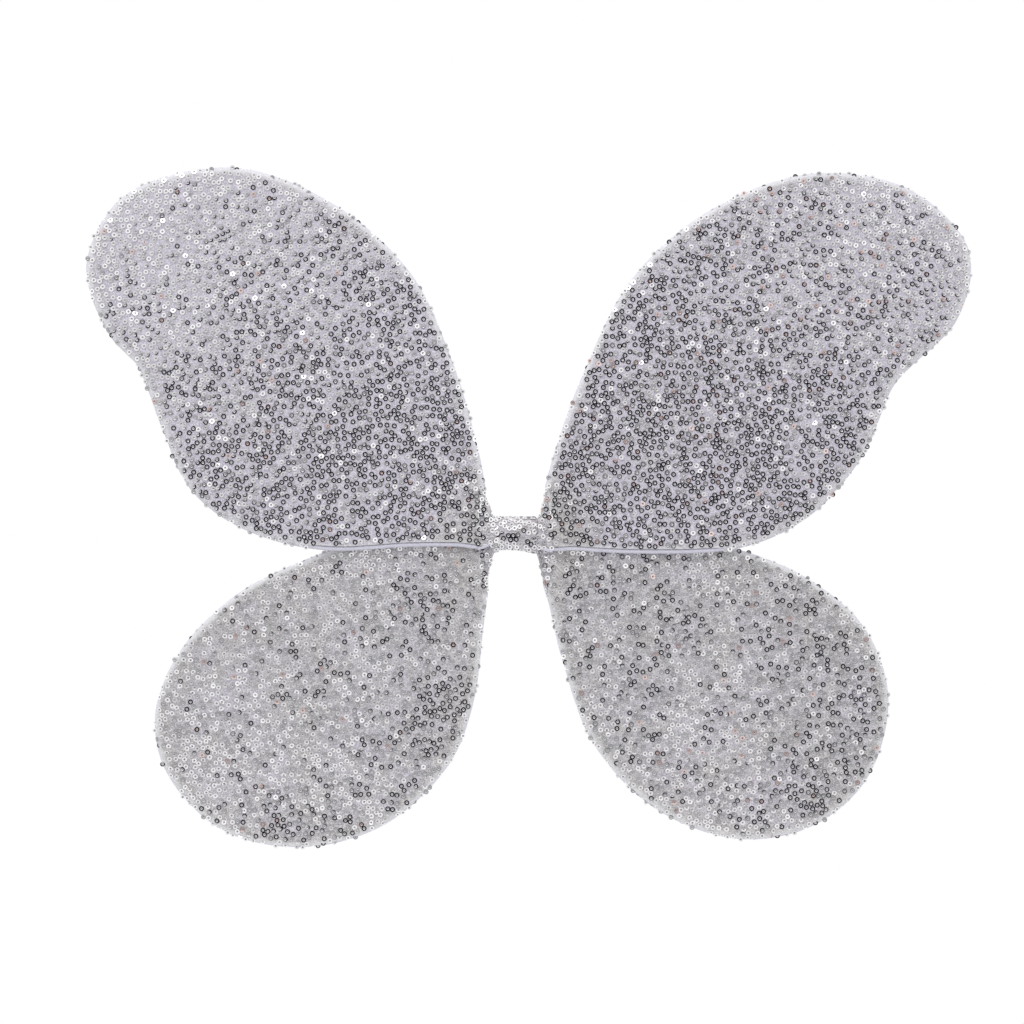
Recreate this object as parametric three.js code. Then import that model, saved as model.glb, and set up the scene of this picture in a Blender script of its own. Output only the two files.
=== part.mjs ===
// Costume fairy wings: four wire loops covered in sequinned mesh, joined by a wrapped bridge,
// with a patch and two elastic arm loops behind.
//
// Millimetres. +Z is up, -Y is the sequinned face and +Y the wearer's side. The origin is the
// middle of the back patch's outer face, the face that lies on the wearer's spine.
//
// Each upper wing pair is one steel wire: one strand crosses the bridge whole, the other is its
// two ends, held in a ferrule. The lower pair is the same. The wires bend beside the bridge, and
// that bend is the hinge, so each wing's wire stops short of the strands inside the bridge.

import * as THREE from "three";

// ---- driving dimensions ---------------------------------------------------------------------

const SPAN = 516; // between the outermost points of the upper wings
const HEIGHT = 398; // from the top of the upper wings to the bottom of the lower ones

const CLEARANCE = 0.3; // between pieces that touch on the real object
const WIRE_RADIUS = 1.0;
const CASING_WALL = 0.4;
const PANEL_THICKNESS = 0.6;
const WING_GAP = 0.8; // between an upper wing's back and a lower wing's front

const BOW = 10; // how far back the furthest wing tip leans
const BOW_REACH = 310; // distance from the origin at which it leans that far

const PATCH_WIDTH = 23;
const PATCH_HEIGHT = 15;
const PATCH_THICKNESS = 1.5;
const PATCH_CORNER = 2;

const ELASTIC_WIDTH = 6;
const ELASTIC_THICKNESS = 1.2;
const TAB_FROM_MIDDLE = 1.5;
const TAB_MARGIN = 1; // from a sewn-down end to the patch's edge
const STRAP_HEIGHTS = [4, -4]; // where the two ends of each arm loop are sewn
const STRAP_LEAD = 3; // from the patch's edge to the start of the free loop
const STRAP_CLEARANCE = 1.2; // behind the lower wings

const SLEEVE_HALF_LENGTH = 12;
const SLEEVE_WALL = 0.8;
const SLEEVE_SLACK = 0.7; // above and below the tape

const TAPE_HALF_LENGTH = 8;
const TAPE_WALL = 0.5;
const TAPE_CORNER = 3.4;

const BRIDGE_WIRE_HALF_LENGTH = 14;
const FERRULE_HALF_LENGTH = 6;
const FERRULE_RADIUS = 2.0;
const WIRE_END_GAP = 1; // between the two ends inside a ferrule
const UPPER_STRAND_HEIGHTS = { whole: 8, joined: -4.5 };
const LOWER_STRAND_HEIGHTS = { whole: -6, joined: -1 };

// The shape of the finished rims as [outward, up] knots, from the top of the root round to its
// underside. Each wing is bent by hand, so the left and right ones differ a little. SPAN and
// HEIGHT stretch them from ROOT_OUT and from the bridge's level.
const ROOT_OUT = 17;
const RIMS = {
  upper_left: [
    [18.5, 9], [17, 24], [22, 52], [36, 100], [61, 153], [107, 194], [165, 215], [226, 201],
    [251, 160], [239, 119], [221, 99], [207, 64], [190, 27], [158, 3], [112, -9], [60, -7],
    [18.5, -7],
  ],
  upper_right: [
    [18.5, 9], [17, 24], [24, 52], [40, 95], [67, 148], [111, 188], [170, 211], [228, 204],
    [265, 170], [262, 132], [244, 109], [222, 88], [203, 46], [172, 11], [130, -8], [73, -11],
    [18.5, -8],
  ],
  lower_left: [
    [18.5, 1], [45, 3], [80, 0], [122, -14], [162, -34], [195, -66], [211, -104], [203, -142],
    [170, -174], [122, -183], [75, -169], [39, -135], [24, -97], [18.5, -55], [15.5, -28],
    [18, -14],
  ],
  lower_right: [
    [18.5, 1], [50, 3], [90, 2], [142, -12], [177, -29], [206, -56], [219, -97], [207, -142],
    [174, -171], [128, -178], [80, -159], [45, -121], [28, -75], [20, -42], [15.5, -24],
    [18, -14],
  ],
};
// A point well inside each wing, from which the whole rim can be seen.
const WING_MIDDLES = { upper: [130, 105], lower: [120, -95] };

// The free part of an arm loop as [outward, up] knots, lying behind the wings.
const STRAP_ROUTE = [
  [38, 34], [72, 56], [102, 46], [112, 10], [106, -26], [82, -50], [46, -48], [26, -24],
];

const RIM_STEPS = 44;
const TUBE_SIDES = 6;
const ROUND_SIDES = 12;
const STRAP_STEPS = 36;
const CORNER_STEPS = 4;
const PANEL_RINGS = [1, 0.5];

const knots = Object.values(RIMS).flat();
const widest = (name) => Math.max(...RIMS[name].map(([out]) => out));
const ups = knots.map(([, up]) => up);
const OUTWARD_STRETCH =
  (SPAN - 2 * ROOT_OUT) / (widest("upper_left") + widest("upper_right") - 2 * ROOT_OUT);
const UPWARD_STRETCH = HEIGHT / (Math.max(...ups) - Math.min(...ups));
const stretched = ([out, up]) =>
  new THREE.Vector2(ROOT_OUT + (out - ROOT_OUT) * OUTWARD_STRETCH, up * UPWARD_STRETCH);

// ---- depths, from the patch forwards ----------------------------------------------------------

const TAB_BACK = -(PATCH_THICKNESS + CLEARANCE);
const SLEEVE_BACK = TAB_BACK - ELASTIC_THICKNESS - CLEARANCE;
const CASING_BORE = WIRE_RADIUS + CLEARANCE;
const CASING_RADIUS = CASING_BORE + CASING_WALL;
const FACE_OFFSET = CASING_RADIUS + CLEARANCE; // from a wing's wire to its panels
const WING_HALF_DEPTH = FACE_OFFSET + PANEL_THICKNESS;
const PLANE_OFFSET = WING_HALF_DEPTH + WING_GAP / 2; // from the bridge's middle to its wires
const TAPE_HALF_DEPTH = PLANE_OFFSET + FERRULE_RADIUS + CLEARANCE + TAPE_WALL;
const SLEEVE_HALF_DEPTH = TAPE_HALF_DEPTH + CLEARANCE + SLEEVE_WALL;
const MIDDLE = SLEEVE_BACK - SLEEVE_HALF_DEPTH;
const PLANES = { upper: MIDDLE - PLANE_OFFSET, lower: MIDDLE + PLANE_OFFSET };

const bow = (out, up) => BOW * (Math.hypot(out, up) / BOW_REACH) ** 3;
const STRAP_REACH = Math.max(...STRAP_ROUTE.map(([out, up]) => Math.hypot(out, up)));
const STRAP_FRONT = PLANES.lower + WING_HALF_DEPTH + bow(STRAP_REACH, 0) + STRAP_CLEARANCE;

// ---- materials --------------------------------------------------------------------------------

const material = (color, roughness, metalness) =>
  new THREE.MeshStandardMaterial({ color, roughness, metalness });
const STEEL = material(0x9a9ca0, 0.35, 1);
const ALUMINIUM = material(0xb9bbbf, 0.4, 1);
const SEQUINNED = material(0xaeacb3, 0.35, 0.6);
const LINING = material(0xc5c2cf, 0.6, 0.1);
const CASING_CLOTH = material(0xd3d1dd, 0.5, 0.1);
const ELASTIC = material(0xe4e4e8, 0.8, 0);
const TAPE_CLOTH = material(0xededf0, 0.85, 0);
const PATCH_CLOTH = material(0xc9c7d1, 0.7, 0);

// ---- helpers ----------------------------------------------------------------------------------

const wings = new THREE.Group();

function add(name, geometry, look) {
  const mesh = new THREE.Mesh(geometry, look);
  mesh.name = name;
  wings.add(mesh);
}

// A closed solid from corner points and triangles, turned face outwards whichever way they run.
function closedSolid(points, triangles) {
  let volume = 0;
  for (const [a, b, c] of triangles)
    volume += points[a].dot(new THREE.Vector3().crossVectors(points[b], points[c]));
  const facing = volume < 0 ? triangles.map(([a, b, c]) => [a, c, b]) : triangles;
  const geometry = new THREE.BufferGeometry().setFromPoints(points);
  geometry.setIndex(facing.flat());
  return geometry;
}

// The rim as evenly spaced [outward, up] points.
function rimOf(name) {
  return new THREE.SplineCurve(RIMS[name].map(stretched)).getSpacedPoints(RIM_STEPS);
}

// The rim moved inwards by a distance. Every rim runs clockwise, so inwards is to the right.
function insetRim(rim, distance) {
  return rim.map((point, i) => {
    const along = rim[Math.min(i + 1, rim.length - 1)].clone().sub(rim[Math.max(i - 1, 0)]);
    along.normalize();
    return new THREE.Vector2(point.x + along.y * distance, point.y - along.x * distance);
  });
}

// A cloth panel: the rim's outline, closed across the root, following the bow.
function panel(rim, middle, side, front, thickness) {
  const centre = stretched(middle);
  const place = (flat, depth) =>
    new THREE.Vector3(side * flat.x, depth + bow(flat.x, flat.y), flat.y);
  const points = [];
  const triangles = [];
  const count = rim.length;
  const layer = PANEL_RINGS.length * count + 1;
  for (const depth of [front, front + thickness]) {
    for (const share of PANEL_RINGS)
      for (const point of rim) points.push(place(centre.clone().lerp(point, share), depth));
    points.push(place(centre, depth));
  }
  const last = (PANEL_RINGS.length - 1) * count;
  for (let i = 0; i < count; i++) {
    const j = (i + 1) % count;
    for (const [base, flip] of [[0, false], [layer, true]]) {
      const face = (a, b, c) =>
        triangles.push(flip ? [base + a, base + c, base + b] : [base + a, base + b, base + c]);
      for (let ring = 0; ring < last; ring += count) {
        face(ring + i, ring + j, ring + count + i);
        face(ring + j, ring + count + j, ring + count + i);
      }
      face(last + i, last + j, layer - 1);
    }
    triangles.push([i, layer + i, j], [j, layer + i, layer + j]);
  }
  return closedSolid(points, triangles);
}

// A round section, with an optional bore.
function roundSection(radius, bore, sides) {
  const ring = (r) =>
    Array.from({ length: sides }, (_, i) => {
      const angle = (2 * Math.PI * i) / sides;
      return new THREE.Vector2(r * Math.cos(angle), r * Math.sin(angle));
    });
  const shape = new THREE.Shape(ring(radius));
  if (bore) shape.holes.push(new THREE.Path(ring(bore)));
  return shape;
}

function alongPath(section, path, steps) {
  return new THREE.ExtrudeGeometry(section, { steps, bevelEnabled: false, extrudePath: path });
}

// A straight rod or tube along X.
function rod(radius, bore, from, to, y, z) {
  const section = roundSection(radius, bore, ROUND_SIDES);
  const geometry = new THREE.ExtrudeGeometry(section, { depth: to - from, bevelEnabled: false });
  return geometry.rotateY(Math.PI / 2).translate(from, y, z);
}

// A rectangle with round corners, between two corner points.
function roundedOutline(path, left, bottom, right, top, radius) {
  path.moveTo(left + radius, bottom);
  path.absarc(right - radius, bottom + radius, radius, -Math.PI / 2, 0);
  path.absarc(right - radius, top - radius, radius, 0, Math.PI / 2);
  path.absarc(left + radius, top - radius, radius, Math.PI / 2, Math.PI);
  path.absarc(left + radius, bottom + radius, radius, Math.PI, 1.5 * Math.PI);
  return path;
}

// A flat tube along X: a wall of even thickness round a rounded rectangle in Y and Z.
function flatTube(halfLength, halfDepth, bottom, top, corner, wall) {
  const shape = roundedOutline(new THREE.Shape(), -halfDepth, bottom, halfDepth, top, corner);
  const bore = roundedOutline(
    new THREE.Path(),
    wall - halfDepth, bottom + wall, halfDepth - wall, top - wall, corner - wall,
  );
  shape.holes.push(bore);
  const geometry = new THREE.ExtrudeGeometry(shape, {
    depth: 2 * halfLength,
    bevelEnabled: false,
    curveSegments: CORNER_STEPS,
  });
  // The outline's X becomes Y, its Y becomes Z and its depth becomes X.
  geometry.applyMatrix4(new THREE.Matrix4().set(0, 0, 1, 0, 1, 0, 0, 0, 0, 1, 0, 0, 0, 0, 0, 1));
  return geometry.translate(-halfLength, MIDDLE, 0);
}

// A plate facing Y, drawn in X and Z and standing between two depths.
function plate(shape, back, thickness) {
  const geometry = new THREE.ExtrudeGeometry(shape, {
    depth: thickness,
    bevelEnabled: false,
    curveSegments: CORNER_STEPS,
  });
  return geometry.rotateX(Math.PI / 2).translate(0, back, 0);
}

// ---- the wings --------------------------------------------------------------------------------

function wing(name) {
  const [level, sideName] = name.split("_");
  const side = sideName === "left" ? -1 : 1;
  const plane = PLANES[level];
  const rim = rimOf(name);
  const line = insetRim(rim, CASING_RADIUS).map(
    ({ x, y }) => new THREE.Vector3(side * x, plane + bow(x, y), y),
  );
  const path = new THREE.CatmullRomCurve3(line);
  const middle = WING_MIDDLES[level];
  const front = plane - WING_HALF_DEPTH;
  add(`${name}_wire`, alongPath(roundSection(WIRE_RADIUS, 0, TUBE_SIDES), path, RIM_STEPS), STEEL);
  add(
    `${name}_edge_casing`,
    alongPath(roundSection(CASING_RADIUS, CASING_BORE, TUBE_SIDES), path, RIM_STEPS),
    CASING_CLOTH,
  );
  add(`${name}_sequin_panel`, panel(rim, middle, side, front, PANEL_THICKNESS), SEQUINNED);
  add(
    `${name}_back_lining`,
    panel(rim, middle, side, plane + FACE_OFFSET, PANEL_THICKNESS),
    LINING,
  );
}

// ---- the bridge -------------------------------------------------------------------------------

function bridgeWires(level, heights) {
  const y = PLANES[level];
  const reach = BRIDGE_WIRE_HALF_LENGTH;
  const gap = WIRE_END_GAP / 2;
  add(`${level}_bridge_wire`, rod(WIRE_RADIUS, 0, -reach, reach, y, heights.whole), STEEL);
  add(`${level}_wire_end_left`, rod(WIRE_RADIUS, 0, -reach, -gap, y, heights.joined), STEEL);
  add(`${level}_wire_end_right`, rod(WIRE_RADIUS, 0, gap, reach, y, heights.joined), STEEL);
  const half = FERRULE_HALF_LENGTH;
  const bore = WIRE_RADIUS + CLEARANCE;
  add(`${level}_ferrule`, rod(FERRULE_RADIUS, bore, -half, half, y, heights.joined), ALUMINIUM);
}

function bridgeWraps() {
  // The tape is wound tight over whatever stands out furthest.
  const strands = [UPPER_STRAND_HEIGHTS, LOWER_STRAND_HEIGHTS];
  const tops = strands.flatMap((s) => [s.whole + WIRE_RADIUS, s.joined + FERRULE_RADIUS]);
  const bottoms = strands.flatMap((s) => [s.whole - WIRE_RADIUS, s.joined - FERRULE_RADIUS]);
  const top = Math.max(...tops) + CLEARANCE + TAPE_WALL;
  const bottom = Math.min(...bottoms) - CLEARANCE - TAPE_WALL;
  const tape = flatTube(TAPE_HALF_LENGTH, TAPE_HALF_DEPTH, bottom, top, TAPE_CORNER, TAPE_WALL);
  add("binding_tape", tape, TAPE_CLOTH);
  const spare = SLEEVE_SLACK + SLEEVE_WALL;
  const corner = TAPE_CORNER + CLEARANCE + SLEEVE_WALL;
  const sleeve = flatTube(
    SLEEVE_HALF_LENGTH, SLEEVE_HALF_DEPTH, bottom - spare, top + spare, corner, SLEEVE_WALL,
  );
  add("centre_sleeve", sleeve, SEQUINNED);
}

function backPatch() {
  const x = PATCH_WIDTH / 2;
  const z = PATCH_HEIGHT / 2;
  const outline = roundedOutline(new THREE.Shape(), -x, -z, x, z, PATCH_CORNER);
  add("back_patch", plate(outline, 0, PATCH_THICKNESS), PATCH_CLOTH);
}

// ---- the arm loops ----------------------------------------------------------------------------

// The free loop stands on edge behind its wings: its width runs along Y.
function armLoop(sideName, side) {
  const start = PATCH_WIDTH / 2 + STRAP_LEAD;
  const [topEnd, bottomEnd] = STRAP_HEIGHTS.map((up) => [start, up]);
  const knots = [topEnd, ...STRAP_ROUTE, bottomEnd];
  const route = new THREE.SplineCurve(knots.map(([out, up]) => new THREE.Vector2(out, up)));
  const line = route.getSpacedPoints(STRAP_STEPS);
  const half = ELASTIC_THICKNESS / 2;
  const outline = [...insetRim(line, -half), ...insetRim(line, half).reverse()];
  const shape = new THREE.Shape(outline.map(({ x, y }) => new THREE.Vector2(side * x, y)));
  add(`${sideName}_arm_loop`, plate(shape, STRAP_FRONT + ELASTIC_WIDTH, ELASTIC_WIDTH), ELASTIC);
}

// The sewn-down ends of an arm loop, lying flat under the patch.
function strapTabs(sideName, side) {
  const near = side * TAB_FROM_MIDDLE;
  const far = side * (PATCH_WIDTH / 2 - TAB_MARGIN);
  const half = ELASTIC_WIDTH / 2;
  STRAP_HEIGHTS.forEach((up, i) => {
    const shape = new THREE.Shape([
      new THREE.Vector2(near, up - half),
      new THREE.Vector2(far, up - half),
      new THREE.Vector2(far, up + half),
      new THREE.Vector2(near, up + half),
    ]);
    const name = `${sideName}_strap_${i ? "lower" : "upper"}_end`;
    add(name, plate(shape, TAB_BACK, ELASTIC_THICKNESS), ELASTIC);
  });
}

// ---- the whole object -------------------------------------------------------------------------

for (const name of Object.keys(RIMS)) wing(name);
bridgeWires("upper", UPPER_STRAND_HEIGHTS);
bridgeWires("lower", LOWER_STRAND_HEIGHTS);
bridgeWraps();
backPatch();
for (const [sideName, side] of [["left", -1], ["right", 1]]) {
  strapTabs(sideName, side);
  armLoop(sideName, side);
}

export default wings;
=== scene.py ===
"""Looks for the costume fairy wings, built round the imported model.

Metres throughout. +Z is up, -Y is the sequinned face and +Y the wearer's side. Every place and
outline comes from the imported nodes, and the sizes below are those of cloth, sequins and thread.
"""

import math

import bmesh
import bpy
import numpy as np
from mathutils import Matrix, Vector


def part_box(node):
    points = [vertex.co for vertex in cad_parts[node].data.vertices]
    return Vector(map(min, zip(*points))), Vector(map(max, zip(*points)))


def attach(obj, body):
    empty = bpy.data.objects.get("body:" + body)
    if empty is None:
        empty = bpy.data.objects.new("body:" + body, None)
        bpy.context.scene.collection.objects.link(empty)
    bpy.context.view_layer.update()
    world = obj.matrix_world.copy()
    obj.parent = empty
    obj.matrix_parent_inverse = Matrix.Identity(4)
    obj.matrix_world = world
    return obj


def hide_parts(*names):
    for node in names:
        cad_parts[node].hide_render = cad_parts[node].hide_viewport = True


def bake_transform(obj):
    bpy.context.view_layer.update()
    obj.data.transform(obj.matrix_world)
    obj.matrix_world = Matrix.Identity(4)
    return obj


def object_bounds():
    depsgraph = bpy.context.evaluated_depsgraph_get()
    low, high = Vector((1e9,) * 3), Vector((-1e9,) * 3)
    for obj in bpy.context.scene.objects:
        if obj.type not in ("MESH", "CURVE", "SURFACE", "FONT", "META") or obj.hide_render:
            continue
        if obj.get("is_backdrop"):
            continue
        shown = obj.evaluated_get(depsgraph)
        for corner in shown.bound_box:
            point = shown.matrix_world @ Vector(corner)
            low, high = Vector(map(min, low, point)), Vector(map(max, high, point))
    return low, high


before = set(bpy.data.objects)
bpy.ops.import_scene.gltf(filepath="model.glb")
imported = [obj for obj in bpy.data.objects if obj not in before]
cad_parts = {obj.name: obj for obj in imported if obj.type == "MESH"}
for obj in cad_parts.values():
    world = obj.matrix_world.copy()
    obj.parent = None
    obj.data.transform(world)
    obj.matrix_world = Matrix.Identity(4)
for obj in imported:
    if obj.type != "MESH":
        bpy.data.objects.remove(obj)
CAD_BOX = [list(corner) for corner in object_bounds()]

MM = 0.001

# ---- sizes ------------------------------------------------------------------------------------

SEQUIN_RADIUS = 1.5 * MM
SEQUIN_CREASE = 0.78 * MM  # where the flat rim turns down into the dimple
SEQUIN_HOLE = 0.3 * MM
SEQUIN_RISE = 0.24 * MM
SEQUIN_RIM_DROP = 0.012 * MM
SEQUIN_SIDES = 10
SEQUIN_SPACING = 2.72 * MM  # closest that two centres come
SEQUIN_TIP = 0.1 * MM  # the underside's lowest point, below the hole
SEQUIN_AREA = 13.6 * MM * MM  # cloth for each sequin

CLOTH_THICKNESS = 0.25 * MM
CLOTH_SAG = 0.6 * MM  # how far the two cloths of a wing draw together between its wires
RIM_ROUNDING = 2.6 * MM
RIM_LIFT = 0.32 * MM  # from the wire's plane to a cloth's edge
RIM_INSET = 0.45 * MM
ROLL_RADIUS = 1.65 * MM
ROLL_SHOWING = 2.3 * MM  # bare roll along the lower edge of an upper wing
ROLL_STITCH = 2.6 * MM
SPOKES = 264
RINGS = 38

NECK_REACH = 30 * MM  # how far up or down its wing's inner edge a neck goes
NECK_GATHER = 0.2 * MM
NECK_ROWS = 26
NECK_ACROSS = 20
SLEEVE_ROWS = 34
SLEEVE_AROUND = 72

STRAP_STEPS = 150
RIB_COUNT = 5
THREAD_RADIUS = 0.16 * MM
STITCH_LENGTH = 2.1 * MM
STITCH_PITCH = 2.8 * MM
THREAD_SIDES = 6
THREAD_STEPS = 7
PATCH_STITCH_INSET = 0.95 * MM
PATCH_STITCH_CORNER = 1.4 * MM
TAB_STITCH_INSET = (1.2 * MM, 1.0 * MM)  # from the sides and from the edges of a sewn-down end

VIEW_WIDTH = 0.598
VIEW_DISTANCE = 2.0
VIEW_AIM = Vector((-0.0018, 0, 0.0134))
FLOOR_BELOW = 0.17  # from the lowest point of the wings
FLOOR_HALF_WIDTH = 0.8
FLOOR_FRONT = -0.45
FLOOR_BACK = 0.4

# The room as the foil mirrors it: angles in degrees, to the right and up, seen from the wings.
ROOM_COLOUR = (1.05, 1.05, 1.06, 1)
DIM_MIDDLE = (3.5, -3.0)
DIM_RADIUS = 13.8
DIM_SOFTNESS = 1.5
DIM_COLOUR = (0.012, 0.011, 0.018, 1)
HALO_RADIUS = 27
HALO_SHARE = 0.6
LOW_BAND = ((-44, 0), (-36, 0.3), (-28, 0.6), (-21, 0.86), (-13, 1), (-6.5, 0))
LOW_COLOUR = (0.33, 0.33, 0.35, 1)

# ---- numbers and noise ------------------------------------------------------------------------


def smooth(value, low, high):
    """0 below low, 1 above high and a soft step between them."""
    t = np.clip((value - low) / (high - low), 0, 1)
    return t * t * (3 - 2 * t)


def rough(x, z, wavelength, seed):
    """Soft lumps from -1 to 1 over a plane, the same for the same seed."""
    lattice = np.random.default_rng(seed).uniform(-1, 1, (64, 64))
    u, v = np.asarray(x) / wavelength, np.asarray(z) / wavelength
    i, j = np.floor(u).astype(int), np.floor(v).astype(int)
    a, b = smooth(u - i, 0, 1), smooth(v - j, 0, 1)
    corner = lambda di, dj: lattice[(i + di) % 64, (j + dj) % 64]
    near = corner(0, 0) * (1 - a) + corner(1, 0) * a
    far = corner(0, 1) * (1 - a) + corner(1, 1) * a
    return near * (1 - b) + far * b


def through(knots, count):
    """Evenly counted points on a smooth open curve through the knots."""
    p = np.array(knots, float)
    p = np.vstack([2 * p[0] - p[1], p, 2 * p[-1] - p[-2]])
    t = np.linspace(0, len(knots) - 1, count)
    i = np.minimum(t.astype(int), len(knots) - 2)
    f = (t - i)[:, None]
    a, b, c, d = p[i], p[i + 1], p[i + 2], p[i + 3]
    return 0.5 * (2 * b + (c - a) * f + (2 * a - 5 * b + 4 * c - d) * f**2
                  + (3 * b - a - 3 * c + d) * f**3)


def full_turn(count):
    """Evenly spaced angles, once round."""
    return np.linspace(0, 2 * math.pi, count, endpoint=False)


def neighbours(count):
    """Each place on a ring, and the place after it."""
    j = np.arange(count)
    return j, (j + 1) % count


def unit(v):
    return v / np.maximum(np.linalg.norm(v, axis=-1, keepdims=True), 1e-12)


def spread(points, spacing, count):
    """Which of the points to keep, in order, so that no two are closer than spacing."""
    steps = [(i, j, k) for i in (-1, 0, 1) for j in (-1, 0, 1) for k in (-1, 0, 1)]
    cells, kept = {}, []
    for index, (point, cell) in enumerate(zip(points, np.floor(points / spacing).astype(int))):
        i, j, k = cell
        near = [q for a, b, c in steps for q in cells.get((i + a, j + b, k + c), ())]
        if near and (((np.array(near) - point) ** 2).sum(1) < spacing * spacing).any():
            continue
        cells.setdefault((i, j, k), []).append(point)
        kept.append(index)
        if len(kept) >= count:
            break
    return np.array(kept)


# ---- meshes -----------------------------------------------------------------------------------


def piece(name, points, faces, material, shade_smooth=True):
    """A mesh object from an array of points and a list of face arrays."""
    mesh = bpy.data.meshes.new(name)
    faces = [np.asarray(f, np.int32) for f in faces if len(f)]
    sizes = np.concatenate([np.full(len(f), f.shape[1]) for f in faces])
    mesh.vertices.add(len(points))
    mesh.vertices.foreach_set("co", np.asarray(points, np.float32).ravel())
    mesh.loops.add(int(sizes.sum()))
    mesh.loops.foreach_set("vertex_index", np.concatenate([f.ravel() for f in faces]))
    mesh.polygons.add(len(sizes))
    mesh.polygons.foreach_set("loop_start", np.concatenate([[0], np.cumsum(sizes)[:-1]]))
    mesh.update(calc_edges=True)
    mesh.validate()
    mesh.shade_smooth() if shade_smooth else mesh.shade_flat()
    mesh.materials.append(material)
    made = bpy.data.objects.new(name, mesh)
    bpy.context.scene.collection.objects.link(made)
    return made


def mark(obj, name, values, kind="FLOAT", domain="POINT"):
    """Stores a number, vector or colour at each point or face of a piece, for its material."""
    attribute = obj.data.attributes.new(name, kind, domain)
    field = {"FLOAT": "value", "FLOAT_COLOR": "color", "FLOAT_VECTOR": "vector"}[kind]
    attribute.data.foreach_set(field, np.asarray(values, np.float32).ravel())


def quads(rows, columns, around=False):
    """Faces of a grid of points, row by row; around closes each row on itself."""
    last = columns if around else columns - 1
    i, j = np.meshgrid(np.arange(rows - 1), np.arange(last), indexing="ij")
    here, there = i * columns + j, i * columns + (j + 1) % columns
    return np.stack([here, there, there + columns, here + columns], -1).reshape(-1, 4)


def grid_normals(grid, around):
    """Normals of a grid of points, row by row."""
    if around:
        across = np.roll(grid, -1, 1) - np.roll(grid, 1, 1)
    else:
        across = np.gradient(grid, axis=1)
    return unit(np.cross(across, np.gradient(grid, axis=0)))


def walled_tube(name, grid, wall, material):
    """A thin-walled tube with open ends from rings of points, with its wall inside them."""
    rows, columns = grid.shape[:2]
    normals = grid_normals(grid, True)
    outwards = (normals * (grid - grid.mean(1, keepdims=True))).sum() > 0
    inner = grid - normals * wall * (1 if outwards else -1)
    sides = quads(rows, columns, True)
    total = rows * columns
    j, k = neighbours(columns)
    first = np.stack([j, k, k + total, j + total], -1)[:, ::-1]
    end = first[:, ::-1] + (rows - 1) * columns
    faces = np.vstack([sides, sides[:, ::-1] + total, first, end])
    if outwards:
        faces = faces[:, ::-1]
    points = np.concatenate([grid.reshape(-1, 3), inner.reshape(-1, 3)])
    made = piece(name, points, [faces], material)
    face_out(made)
    return made


def face_out(obj):
    """Turns every face outwards."""
    work = bmesh.new()
    work.from_mesh(obj.data)
    bmesh.ops.recalc_face_normals(work, faces=work.faces)
    work.to_mesh(obj.data)
    work.free()


def solid_sweep(name, sections, material, shade_smooth=True):
    """A closed bar from sections of points, row by row, with flat ends."""
    rows, columns = sections.shape[:2]
    points = np.concatenate([sections.reshape(-1, 3), sections[[0, -1]].mean(1)])
    j, k = neighbours(columns)
    start = np.stack([j, k, np.full(columns, rows * columns)], -1)
    last = (rows - 1) * columns
    end = np.stack([k + last, j + last, np.full(columns, rows * columns + 1)], -1)
    made = piece(name, points, [quads(rows, columns, True), start, end], material, shade_smooth)
    face_out(made)
    return made


def node_points(name):
    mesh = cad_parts[name].data
    points = np.empty(len(mesh.vertices) * 3, np.float32)
    mesh.vertices.foreach_get("co", points)
    return points.reshape(-1, 3).astype(float)


# ---- node groups and materials ----------------------------------------------------------------


def group(name, inputs, outputs):
    """A new shader node group, with its sockets."""
    tree = bpy.data.node_groups.new(name, "ShaderNodeTree")
    for direction, sockets in (("INPUT", inputs), ("OUTPUT", outputs)):
        for label, kind in sockets:
            tree.interface.new_socket(label, in_out=direction, socket_type=f"NodeSocket{kind}")
    return tree, tree.nodes.new("NodeGroupInput"), tree.nodes.new("NodeGroupOutput")


def node(tree, kind, **settings):
    """A node with its settings; a setting that names an input socket sets it or links to it."""
    made = tree.nodes.new(f"ShaderNode{kind}")
    for key, value in settings.items():
        if hasattr(made, key) and not isinstance(value, bpy.types.NodeSocket):
            setattr(made, key, value)
            continue
        socket = made.inputs[int(key[2:])] if key.startswith("in") else made.inputs[key]
        if isinstance(value, bpy.types.NodeSocket):
            tree.links.new(value, socket)
        else:
            socket.default_value = value
    return made


def set_inputs(made, **values):
    """Sets inputs to constants; an underscore in a name stands for a space."""
    for key, value in values.items():
        made.inputs[key.replace("_", " ")].default_value = value


def ranged(tree, value, low=0.0, high=1.0, to_low=0.0, to_high=1.0):
    """A value moved from one range to another, and held inside it."""
    made = node(tree, "MapRange", Value=value)
    set_inputs(made, From_Min=low, From_Max=high, To_Min=to_low, To_Max=to_high)
    return made.outputs[0]


def mixed(tree, factor, a, b):
    """A colour mixed from two, each a socket or a colour."""
    made = node(tree, "Mix", data_type="RGBA")
    for index, value in ((0, factor), (6, a), (7, b)):
        if isinstance(value, bpy.types.NodeSocket):
            tree.links.new(value, made.inputs[index])
        else:
            made.inputs[index].default_value = value
    return made.outputs[2]


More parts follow.
